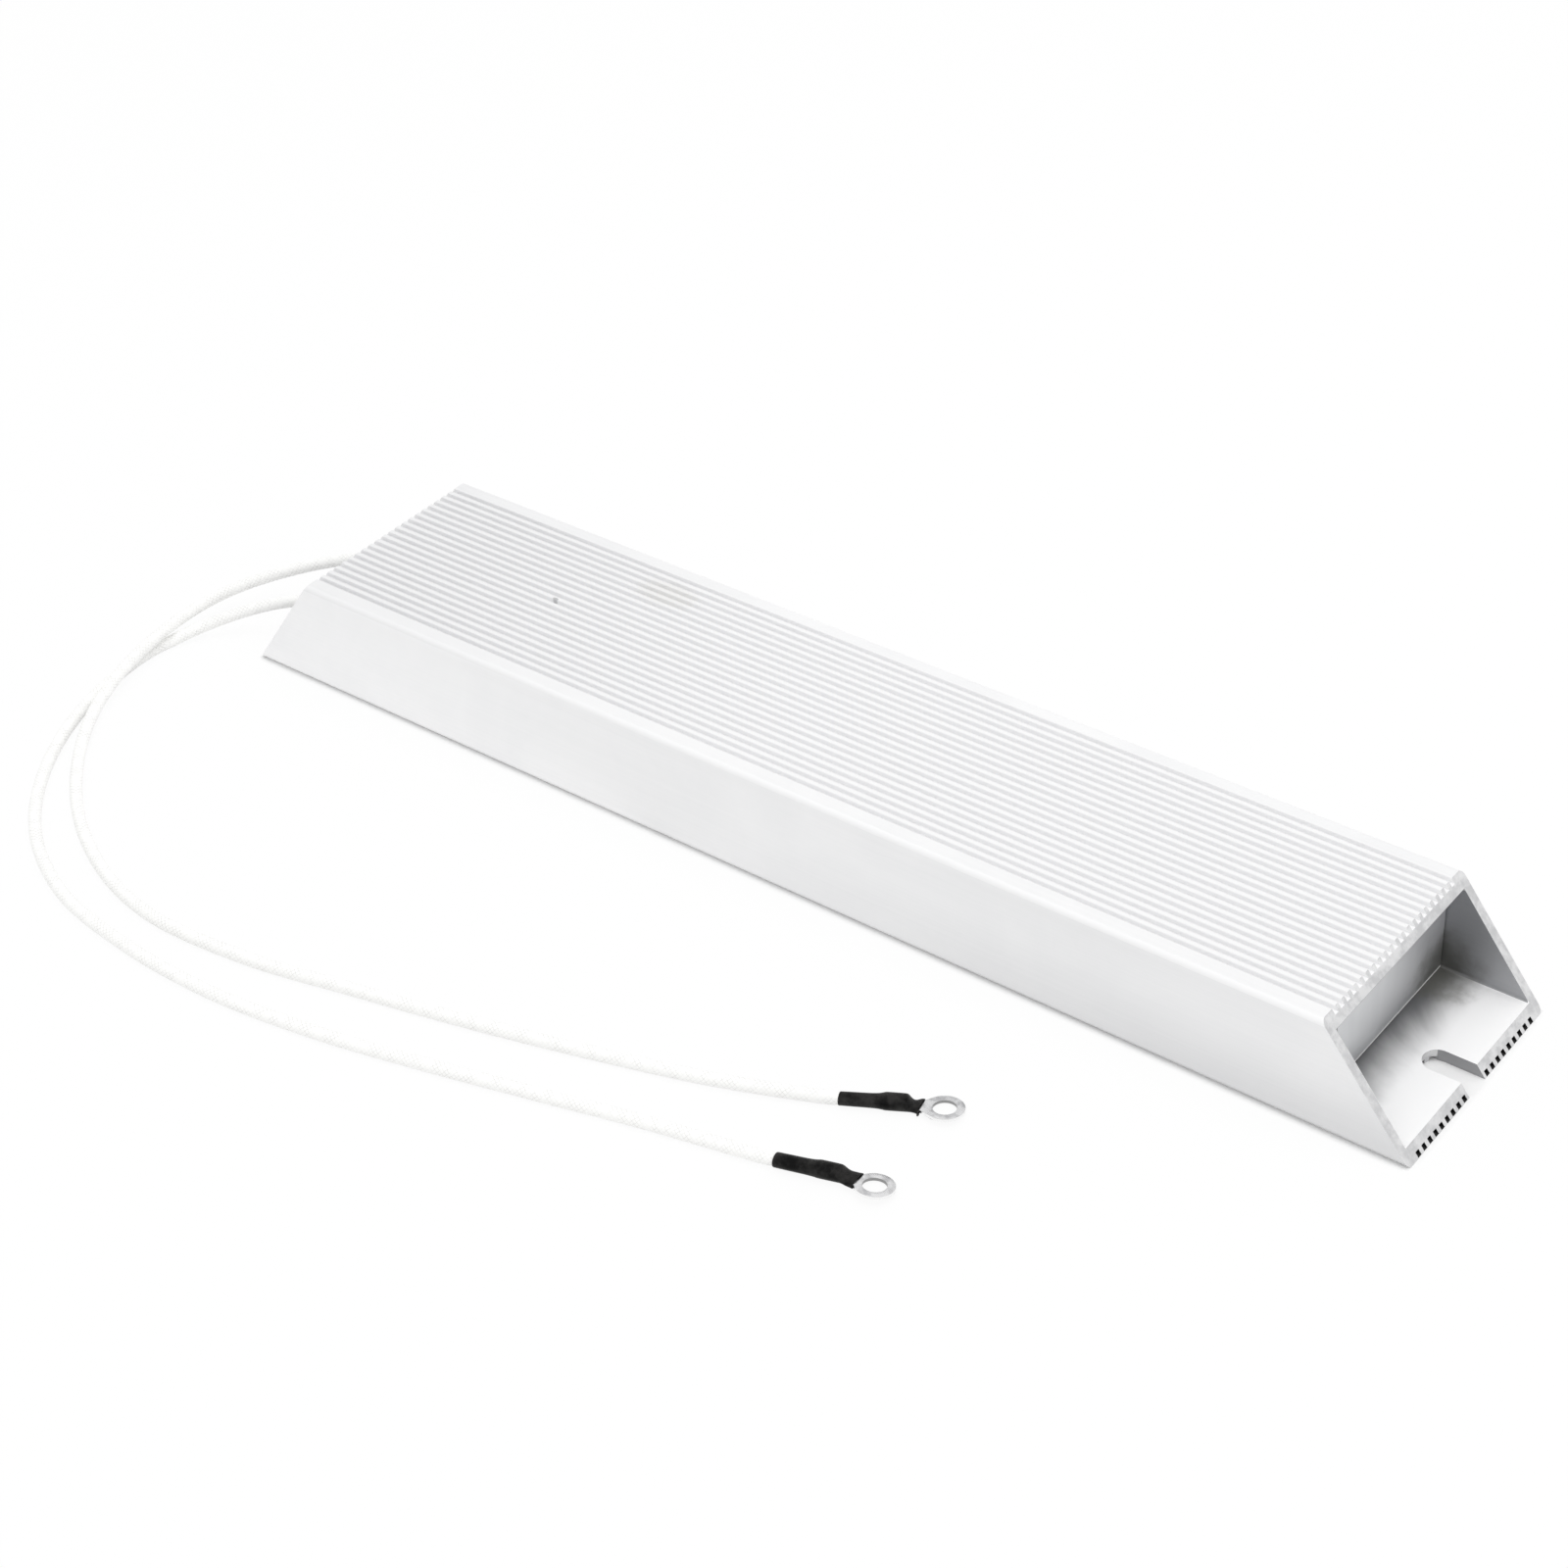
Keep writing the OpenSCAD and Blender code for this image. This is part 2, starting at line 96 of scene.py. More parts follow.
fitting = {"ringDiameter": 8.8*mm, "holeDiameter": 5.3*mm, "sheet": 0.7*mm, "clear": 0.05*mm,
           "neckWidth": 2.4*mm, "tongueWidth": 2.2*mm,
           "barrelLength": 5.0*mm, "barrelDiameter": 3.4*mm, "axisHeight": 1.95*mm}
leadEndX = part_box("housing")[0].x


def headingDir(degrees):
    return Vector((math.cos(math.radians(degrees)), math.sin(math.radians(degrees)), 0))


def ringCentre(terminal):
    return Vector((terminal["ring"][0] + leadEndX, terminal["ring"][1], 0))


def sleeveEnd(terminal):
    front = ringCentre(terminal) - headingDir(terminal["heading"])*terminal["reach"]
    rear = front - headingDir(terminal["sleeveHeading"])*terminal["sleeveBack"]
    return rear + Vector((0, 0, fitting["axisHeight"]))


def ringHeight(terminal):
    # the ring leans on its far rim
    lift = math.sin(math.radians(terminal["roll"]))*fitting["ringDiameter"]/2
    return fitting["clear"] + lift + fitting["sheet"]/2


# ---- leads: a braided glass sleeve over each conductor ----

# straightIn and straightOut place the knots past the two ends, which set the directions there
lead = {"diameter": 3.2*mm, "pinch": 2.78*mm, "strands": 8, "braidPitch": 9.5*mm, "relief": 0.1*mm,
        "sides": 48, "ringGap": 0.26*mm, "straightIn": 14*mm, "straightOut": 28*mm,
        "insideSleeve": 3.0*mm, "pinchRun": 1.6*mm, "spanSteps": 60, "pathStep": 4}


def leadPath(terminal, gap):
    low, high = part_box(terminal["bushing"])
    radius = lead["diameter"]/2
    start = Vector((low.x, (low.y + high.y)/2, (low.z + high.z)/2))
    stop = sleeveEnd(terminal)
    ahead = headingDir(terminal["sleeveHeading"])
    knots = [start + Vector((lead["straightIn"], 0, 0)), start]
    knots += [Vector((x + leadEndX, y, max(z, radius))) for x, y, z in terminal["route"]]
    knots += [stop, stop + ahead*lead["straightOut"]]
    fine = []
    for a, b, c, d in zip(knots, knots[1:], knots[2:], knots[3:]):
        for step in range(lead["spanSteps"]):
            t = step/lead["spanSteps"]
            p = 0.5*(2*b + (c - a)*t + (2*a - 5*b + 4*c - d)*t*t + (3*b - a - 3*c + d)*t**3)
            p.z = max(p.z, radius)
            fine.append(p)
    fine.append(stop)
    fine.append(stop + ahead*lead["insideSleeve"])
    # spaced evenly, so that the braid keeps one pitch
    lengths = [0.0]
    for a, b in zip(fine, fine[1:]):
        lengths.append(lengths[-1] + (b - a).length)
    count = int(lengths[-1]/gap)
    points, at = [], 0
    for index in range(count + 1):
        want = lengths[-1]*index/count
        while at < len(fine) - 2 and lengths[at + 1] < want:
            at += 1
        points.append(fine[at].lerp(fine[at + 1], (want - lengths[at])/(lengths[at + 1] - lengths[at])))
    return points, lengths[-1]


def braidHeight(around, along):
    # height of the upper strand where two sets of strands cross, from 0 to 1
    a, b = lead["strands"]*(around + along), lead["strands"]*(around - along)
    evenA, evenB = (1 if math.floor(v) % 2 == 0 else -1 for v in (a, b))
    crownA, crownB = (1 - (2*(v - math.floor(v)) - 1)**2 for v in (a, b))
    heightA = 0.5*crownA + 0.5*evenA*math.sin(math.pi*b)
    heightB = 0.5*crownB - 0.5*evenB*math.sin(math.pi*a)
    return max(heightA, heightB, 0)


def makeLead(name, terminal):
    points, length = leadPath(terminal, lead["ringGap"])
    sides, last = lead["sides"], len(points) - 1
    rows, around = [], Vector((0, 1, 0))
    for index, point in enumerate(points):
        ahead = (points[min(index + 1, last)] - points[max(index - 1, 0)]).normalized()
        around = (around - ahead*around.dot(ahead)).normalized()
        across = ahead.cross(around)
        along = length*index/last
        left = length - lead["insideSleeve"] - along
        squeeze = min(max(1 - left/lead["pinchRun"], 0), 1)
        squeeze = squeeze*squeeze*(3 - 2*squeeze)
        radius = (lead["diameter"] + (lead["pinch"] - lead["diameter"])*squeeze)/2
        row = []
        for side in range(sides):
            angle = 2*math.pi*side/sides
            height = (braidHeight(side/sides, along/lead["braidPitch"]) - 1)*lead["relief"]
            row.append(point + (around*math.cos(angle) + across*math.sin(angle))*(radius + height))
        rows.append(row)
    verts = [v for row in rows for v in row]
    faces = [(i*sides + j, i*sides + (j + 1) % sides, (i + 1)*sides + (j + 1) % sides, (i + 1)*sides + j)
             for i in range(last) for j in range(sides)]
    faces.append(tuple(reversed(range(sides))))
    faces.append(tuple(last*sides + j for j in range(sides)))
    mesh = bpy.data.meshes.new(name)
    mesh.from_pydata(verts, [], faces)
    wrap = mesh.uv_layers.new(name="wrap")
    for face in range(last*sides):
        i, j = divmod(face, sides)
        here, there = (length*k/last/lead["braidPitch"] for k in (i, i + 1))
        corners = ((j/sides, here), ((j + 1)/sides, here), ((j + 1)/sides, there), (j/sides, there))
        for corner, place in enumerate(corners):
            wrap.data[face*4 + corner].uv = place
    piece = bpy.data.objects.new(name, mesh)
    bpy.context.scene.collection.objects.link(piece)
    for polygon in mesh.polygons:
        polygon.use_smooth = True
    return piece, points[::lead["pathStep"]] + [points[-1]], length


leads = {}
for side, terminal in terminals.items():
    leads[side] = makeLead("braided_lead_" + side, terminal)
    print("lead", side, "made,", round(leads[side][2]*1000), "mm long")


# ---- edit mode helpers ----

def makeActive(piece):
    bpy.ops.object.select_all(action="DESELECT")
    piece.select_set(True)
    bpy.context.view_layer.objects.active = piece


def editOn(piece):
    makeActive(piece)
    bpy.ops.object.mode_set(mode="EDIT")
    bpy.ops.mesh.select_all(action="DESELECT")


def editOff():
    bpy.ops.object.mode_set(mode="OBJECT")


def pick(piece, rule, kind="verts"):
    # selects the vertices, edges or faces that the rule accepts
    bpy.ops.mesh.select_mode(type={"verts": "VERT", "edges": "EDGE", "faces": "FACE"}[kind])
    bpy.ops.mesh.select_all(action="DESELECT")
    form = bmesh.from_edit_mesh(piece.data)
    for item in getattr(form, kind):
        item.select_set(bool(rule(item)))
    form.select_flush_mode()
    bmesh.update_edit_mesh(piece.data)


def applyModifier(piece, kind, **values):
    makeActive(piece)
    made = piece.modifiers.new(kind.lower(), kind)
    for key, value in values.items():
        setattr(made, key, value)
    bpy.ops.object.modifier_apply(modifier=made.name)


def settle(piece, terminal):
    # turns and moves a piece made round the origin to its terminal, and leaves its place in its mesh
    piece.rotation_euler = (0, 0, math.radians(terminal["heading"]))
    piece.location = ringCentre(terminal)
    makeActive(piece)
    bpy.ops.object.transform_apply(location=True, rotation=True, scale=True)


# ---- ring terminals ----

# setBack is the gap from the bend to the barrel, and insert is how far the tongue reaches into the barrel
ringLook = {"vertices": 64, "edge": 0.22*mm, "edgeSegments": 3, "barrelSides": 40, "barrelWall": 0.75*mm,
            "setBack": 0.2*mm, "insert": 0.8*mm, "bevelFrom": 50, "smoothTo": 35}


def makeRing(name, terminal):
    outer, hole, sheet = fitting["ringDiameter"]/2, fitting["holeDiameter"]/2, fitting["sheet"]
    bpy.ops.mesh.primitive_cylinder_add(vertices=ringLook["vertices"], radius=outer, depth=sheet,
                                        location=(0, 0, 0))
    piece = bpy.context.object
    piece.name = name
    editOn(piece)
    pick(piece, lambda face: abs(face.normal.z) > 0.9, "faces")
    bpy.ops.mesh.inset(thickness=outer - hole)
    bpy.ops.mesh.bridge_edge_loops()
    # the neck: the side faces behind the ring are drawn out and squared up, then again for the tongue
    neckStart, neckEnd = terminal["neck"]
    pick(piece, lambda face: abs(face.normal.z) < 0.1 and face.calc_center_median().x < -neckStart
         and face.calc_center_median().length > (outer + hole)/2, "faces")
    widest = 2*math.sqrt(outer*outer - neckStart**2)
    bpy.ops.mesh.extrude_region_move()
    bpy.ops.transform.resize(value=(0, fitting["neckWidth"]/widest, 1), center_override=(-neckEnd, 0, 0))
    tongueRun = neckEnd - terminal["reach"] - ringLook["insert"]
    bpy.ops.mesh.extrude_region_move(TRANSFORM_OT_translate={"value": (tongueRun, 0, 0)})
    bpy.ops.transform.resize(value=(1, fitting["tongueWidth"]/fitting["neckWidth"], 1),
                             center_override=(0, 0, 0))
    bpy.ops.mesh.select_all(action="SELECT")
    bpy.ops.transform.rotate(value=math.radians(terminal["roll"]), orient_axis="X",
                             center_override=(0, 0, 0))
    bpy.ops.transform.translate(value=(0, 0, ringHeight(terminal)))
    editOff()
    start = terminal["reach"] + ringLook["setBack"]
    long = fitting["barrelLength"] - ringLook["setBack"]
    bpy.ops.mesh.primitive_cylinder_add(vertices=ringLook["barrelSides"],
                                        radius=fitting["barrelDiameter"]/2, depth=long,
                                        rotation=(0, math.pi/2, 0),
                                        location=(-start - long/2, 0, fitting["axisHeight"]))
    barrel = bpy.context.object
    bpy.ops.object.transform_apply(location=True, rotation=True)
    editOn(barrel)
    pick(barrel, lambda face: abs(face.normal.x) > 0.9, "faces")
    bpy.ops.mesh.inset(thickness=ringLook["barrelWall"])
    bpy.ops.mesh.bridge_edge_loops()
    editOff()
    bendPiece(barrel, terminal)
    makeActive(piece)
    barrel.select_set(True)
    bpy.ops.object.join()
    applyModifier(piece, "BEVEL", width=ringLook["edge"], segments=ringLook["edgeSegments"],
                  limit_method="ANGLE", angle_limit=math.radians(ringLook["bevelFrom"]))
    bpy.ops.object.shade_smooth_by_angle(angle=math.radians(ringLook["smoothTo"]))
    settle(piece, terminal)
    return piece


def bendPiece(piece, terminal):
    # everything behind the barrel's front end swings round it, from the ring's heading to the sleeve's
    editOn(piece)
    pick(piece, lambda v: v.co.x < -terminal["reach"] + 0.05*mm)
    bpy.ops.transform.rotate(value=math.radians(terminal["heading"] - terminal["sleeveHeading"]),
                             orient_axis="Z", center_override=(-terminal["reach"], 0, 0))
    editOff()


# ---- heat-shrink ----

# A sleeve runs from its rear end over the lead, swells over the barrel, pinches in behind the ring and
# flares at its mouth. Its runs are lengths from an end of the barrel, and slack is its play on the lead.
sleeve = {"sides": 24, "wall": 0.25*mm, "lip": 0.25*mm, "rearTurn": 7, "rearRun": 3.5*mm, "slack": 0.1*mm,
          "slopeLength": 1.3*mm, "bulgeDiameter": 4.05*mm, "bulgeLift": 0.12*mm, "bulgeRun": 0.6*mm,
          "crestRun": 0.5*mm, "crest": (1.02, 0.98), "brow": 0.05*mm, "browShare": 0.95,
          "pinchRun": 0.9*mm, "pinchHeight": 2.3*mm, "pinchLift": 0.15*mm,
          "waistRun": 1.8*mm, "waistExtra": 0.5*mm, "waistHeight": 2.0*mm,
          "mouthWidth": 5.6*mm, "mouthHeight": 1.8*mm, "flare": 0.3*mm}


def makeSleeve(name, terminal):
    front = terminal["reach"]
    rear, barrelBack = front + terminal["sleeveBack"], front + fitting["barrelLength"]
    slim, bulge, axis = terminal["sleeveDiameter"], sleeve["bulgeDiameter"], fitting["axisHeight"]
    low, mouth, rise = sleeve["mouthHeight"], -terminal["mouth"], ringHeight(terminal)
    bpy.ops.mesh.primitive_circle_add(vertices=sleeve["sides"], radius=slim/2,
                                      rotation=(0, math.pi/2, 0), location=(-rear, 0, axis))
    piece = bpy.context.object
    piece.name = name
    bpy.ops.object.transform_apply(location=True, rotation=True)
    editOn(piece)
    bpy.ops.mesh.select_mode(type="EDGE")
    bpy.ops.mesh.select_all(action="SELECT")
    bpy.ops.transform.rotate(value=math.radians(sleeve["rearTurn"]), orient_axis="Z",
                             center_override=(-rear, 0, axis))
    at = {"x": -rear, "z": axis, "width": slim, "height": slim}

    def draw(x, width, height, z):
        bpy.ops.mesh.extrude_region_move(TRANSFORM_OT_translate={"value": (x - at["x"], 0, z - at["z"])})
        bpy.ops.transform.resize(value=(1, width/at["width"], height/at["height"]),
                                 center_override=(x, 0, z))
        at.update(x=x, width=width, height=height, z=z)

    loose, pinch, lip = slim + sleeve["slack"], terminal["pinch"], sleeve["lip"]
    high, brow = axis + sleeve["bulgeLift"], sleeve["brow"]
    draw(-rear + lip, slim, slim, axis)
    draw(-rear + sleeve["rearRun"], loose, loose, axis)
    bpy.ops.transform.rotate(value=-math.radians(sleeve["rearTurn"]), orient_axis="Z",
                             center_override=(-rear + sleeve["rearRun"], 0, axis))
    draw(-barrelBack - sleeve["slopeLength"], slim + 1.5*sleeve["slack"], slim + 0.5*sleeve["slack"], axis)
    draw(-barrelBack, bulge, bulge, high)
    draw(-barrelBack + sleeve["bulgeRun"], bulge, bulge, high)
    draw(-front - sleeve["crestRun"], bulge*sleeve["crest"][0], bulge*sleeve["crest"][1], high)
    draw(-front + brow, bulge, bulge*sleeve["browShare"], high - brow)
    draw(-front + sleeve["pinchRun"], pinch + sleeve["slack"], sleeve["pinchHeight"],
         rise + sleeve["pinchLift"])
    bpy.ops.transform.rotate(value=math.radians(terminal["roll"]), orient_axis="X",
                             center_override=(mouth, 0, rise))
    draw(-front + sleeve["waistRun"], pinch + sleeve["waistExtra"], sleeve["waistHeight"], rise)
    draw(mouth - lip, sleeve["mouthWidth"] - sleeve["flare"], low, rise)
    draw(mouth, sleeve["mouthWidth"], low, rise)
    bpy.ops.transform.rotate(value=math.radians(terminal["mouthTurn"]), orient_axis="Z",
                             center_override=(mouth, 0, rise))
    editOff()
    bendPiece(piece, terminal)
    applyModifier(piece, "SOLIDIFY", thickness=sleeve["wall"], offset=-1)
    applyModifier(piece, "SUBSURF", levels=2, render_levels=2)
    bpy.ops.object.shade_smooth()
    settle(piece, terminal)
    return piece


rings, sleeves = {}, {}
for side, terminal in terminals.items():
    rings[side] = makeRing("ring_" + side, terminal)
    sleeves[side] = makeSleeve("shrink_" + side, terminal)
print("terminals made")


# ---- shader helpers ----

def addNode(tree, kind, inputs=None, **values):
    made = tree.nodes.new("ShaderNode" + kind)
    for key, value in values.items():
        setattr(made, key, value)
    for key, value in (inputs or {}).items():
        if isinstance(value, bpy.types.NodeSocket):
            tree.links.new(value, made.inputs[key])
        else:
            made.inputs[key].default_value = value
    return made


def mathNode(tree, operation, *terms, clamp=False):
    made = addNode(tree, "Math", dict(enumerate(terms)), operation=operation, use_clamp=clamp)
    return made.outputs[0]


def allOf(tree, *masks):
    made = masks[0]
    for mask in masks[1:]:
        made = mathNode(tree, "MULTIPLY", made, mask)
    return made


def less(tree, value, limit):
    return mathNode(tree, "LESS_THAN", value, limit)


def more(tree, value, limit):
    return mathNode(tree, "GREATER_THAN", value, limit)


def magnitude(tree, value):
    return mathNode(tree, "ABSOLUTE", value)


def ramp(tree, value, low, high, toLow=0.0, toHigh=1.0):
    made = addNode(tree, "MapRange", {"Value": value, "From Min": low, "From Max": high,
                                      "To Min": toLow, "To Max": toHigh}, interpolation_type="SMOOTHSTEP")
    return made.outputs[0]


def mixColour(tree, factor, a, b):
    made = addNode(tree, "Mix", data_type="RGBA")
    for index, value in ((0, factor), (6, a), (7, b)):
        if isinstance(value, bpy.types.NodeSocket):
            tree.links.new(value, made.inputs[index])
        else:
            made.inputs[index].default_value = value
    return made.outputs[2]


def startGroup(name, inputs, outputs):
    tree = bpy.data.node_groups.new(name, "ShaderNodeTree")
    for label, value in inputs.items():
        kind = "NodeSocketVector" if isinstance(value, tuple) else "NodeSocketFloat"
        tree.interface.new_socket(name=label, in_out="INPUT", socket_type=kind).default_value = value
    for label in outputs:
        tree.interface.new_socket(name=label, in_out="OUTPUT", socket_type="NodeSocketFloat")
    return tree, tree.nodes.new("NodeGroupInput"), tree.nodes.new("NodeGroupOutput")


def useGroup(tree, group, **inputs):
    made = tree.nodes.new("ShaderNodeGroup")
    made.node_tree = group
    for key, value in inputs.items():
        if isinstance(value, bpy.types.NodeSocket):
            tree.links.new(value, made.inputs[key])
        else:
            made.inputs[key].default_value = value
    return made


def makeGrain():
    # fine streaks along X and broad clouds, both from 0 to 1
    tree, given, result = startGroup("extrusionGrain", {"Streaks": 900.0, "Clouds": 22.0},
                                     ["Streak", "Cloud"])
    place = addNode(tree, "TexCoord").outputs["Object"]
    squeezed = addNode(tree, "Mapping", {"Vector": place, "Scale": (0.006, 1, 1)}).outputs[0]
    streak = addNode(tree, "TexNoise", {"Vector": squeezed, "Scale": given.outputs["Streaks"],
                                        "Detail": 4.0, "Roughness": 0.6})
    cloud = addNode(tree, "TexNoise", {"Vector": place, "Scale": given.outputs["Clouds"],
                                       "Detail": 5.0, "Roughness": 0.62, "Distortion": 0.4})
    tree.links.new(ramp(tree, streak.outputs[0], 0.3, 0.7), result.inputs["Streak"])
    tree.links.new(ramp(tree, cloud.outputs[0], 0.3, 0.72), result.inputs["Cloud"])
    return tree


def makeSpeckle():
    # small grains, as a mask and as a height
    tree, given, result = startGroup("speckle", {"Scale": 900.0, "Low": 0.35, "High": 0.7},
                                     ["Mask", "Height"])
    place = addNode(tree, "TexCoord").outputs["Object"]
    speck = addNode(tree, "TexNoise", {"Vector": place, "Scale": given.outputs["Scale"],
                                       "Detail": 6.0, "Roughness": 0.65})
    mask = addNode(tree, "MapRange", {"Value": speck.outputs[0], "From Min": given.outputs["Low"],
                                      "From Max": given.outputs["High"]}, interpolation_type="SMOOTHSTEP")
    tree.links.new(mask.outputs[0], result.inputs["Mask"])
    tree.links.new(speck.outputs[0], result.inputs["Height"])
    return tree


grain, speckle = makeGrain(), makeSpeckle()


def startMaterial(name, **values):
    material = bpy.data.materials.new(name)
    material.use_nodes = True
    tree = material.node_tree
    shader = tree.nodes["Principled BSDF"]
    for key, value in values.items():
        shader.inputs[key.replace("_", " ")].default_value = value
    return material, tree, shader


def dress(names, material):
    for name in names:
        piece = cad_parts[name]
        if not piece.material_slots:
            piece.data.materials.append(material)
        for slot in piece.material_slots:
            slot.material = material


# ---- aluminium ----

housingLow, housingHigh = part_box("housing")
plateLow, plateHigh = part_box("end_plate_plain")
# shade, groove, distant, deep, wall, slot and root are colours of painted shade, and mouth of painted light
aluminium = {"bright": (0.955, 0.955, 0.958, 1), "cloudy": (0.91, 0.912, 0.918, 1), "cloudShare": 0.8,
             "shade": (0.62, 0.622, 0.63, 1), "shadeLow": 0.42, "shadeAlong": 0.2,
             "rib": (0.943, 0.943, 0.948, 1), "groove": (0.925, 0.925, 0.93, 1),
             "distant": (0.72, 0.722, 0.73, 1), "distantShare": 0.3,
             "cut": (0.60, 0.602, 0.61, 1), "cutBright": (0.76, 0.76, 0.765, 1),
             "mouth": (0.995, 0.995, 0.998, 1), "deep": (0.12, 0.122, 0.127, 1),
             "wall": (0.33, 0.335, 0.35, 1), "wallGain": 0.12, "slot": (0.36, 0.36, 0.37, 1),
             "root": (0.02, 0.02, 0.02, 1), "roughness": 0.45, "metallic": 0.75, "grooveMetal": 0.1}
# where on the housing each finish, painted shade and painted light lies
zones = {"shadeTop": 20*mm, "shadeSpan": (-60*mm, 150*mm), "alongSpan": (-160*mm, 160*mm),
         "ribs": 26*mm, "top": 1.4*mm, "grooveFrom": 0.12*mm, "slack": 0.15*mm,
         "slot": 3.6*mm, "slotTop": 0.1*mm, "footInner": 4.2*mm, "footOuter": 27*mm, "groovePitch": 2.5*mm,
         "grooveHalf": 0.72*mm, "underTop": 1.25*mm, "underFrom": 0.05*mm,
         "recessShadeFar": 12.5*mm, "recessShadeNear": -1*mm, "recessShadeWander": 3.5*mm, "wallFar": 22*mm}
# a darker, brownish patch low in the back corner, on the plate, the floor and the wall
cornerPatch = {"place": (plateHigh.x, plateHigh.y - 3*mm, plateLow.z + 1*mm), "core": 3*mm, "reach": 13*mm,
          "wander": 16*mm, "strength": 0.66, "colour": (0.14, 0.138, 0.12, 1)}
# a short scratch and a faint stain: place, half length and half width, strength and colour
marksOnTop = [((-88.5*mm, 0.9*mm), (1.1*mm, 0.5*mm), 0.5, (0.22, 0.22, 0.23, 1)),
              ((-67*mm, 18*mm), (11*mm, 6*mm), 0.2, (0.76, 0.75, 0.70, 1))]


def splitPlace(tree):
    coordinates = addNode(tree, "TexCoord")
    place = addNode(tree, "SeparateXYZ", {0: coordinates.outputs["Object"]})
    facing = addNode(tree, "SeparateXYZ", {0: coordinates.outputs["Normal"]})
    return place.outputs, facing.outputs


def makeCornerDark():
    tree, given, result = startGroup("cornerDark", {"Scale": 170.0}, ["Mask"])
    place = addNode(tree, "TexCoord").outputs["Object"]
    away = addNode(tree, "VectorMath", {0: place, 1: cornerPatch["place"]}, operation="DISTANCE")
    uneven = addNode(tree, "TexNoise", {"Vector": place, "Scale": given.outputs["Scale"], "Detail": 5.0,
                                        "Roughness": 0.6})
    wander = mathNode(tree, "MULTIPLY", mathNode(tree, "SUBTRACT", uneven.outputs[0], 0.5),
                      cornerPatch["wander"])
    away = mathNode(tree, "ADD", away.outputs["Value"], wander)
    tree.links.new(ramp(tree, away, cornerPatch["reach"], cornerPatch["core"], 0.0, cornerPatch["strength"]),
                   result.inputs["Mask"])
    return tree


cornerDark = makeCornerDark()


def addMark(tree, colour, x, y, onTop, mark):
    (markX, markY), (long, wide), strength, tint = mark
    share = []
    for value, middle, half in ((x, markX, long), (y, markY, wide)):
        offset = mathNode(tree, "DIVIDE", mathNode(tree, "SUBTRACT", value, middle), half)
        share.append(mathNode(tree, "POWER", offset, 2.0))
    spot = ramp(tree, mathNode(tree, "ADD", *share), 1.0, 0.2, 0.0, strength)
    return mixColour(tree, allOf(tree, spot, onTop), colour, tint)


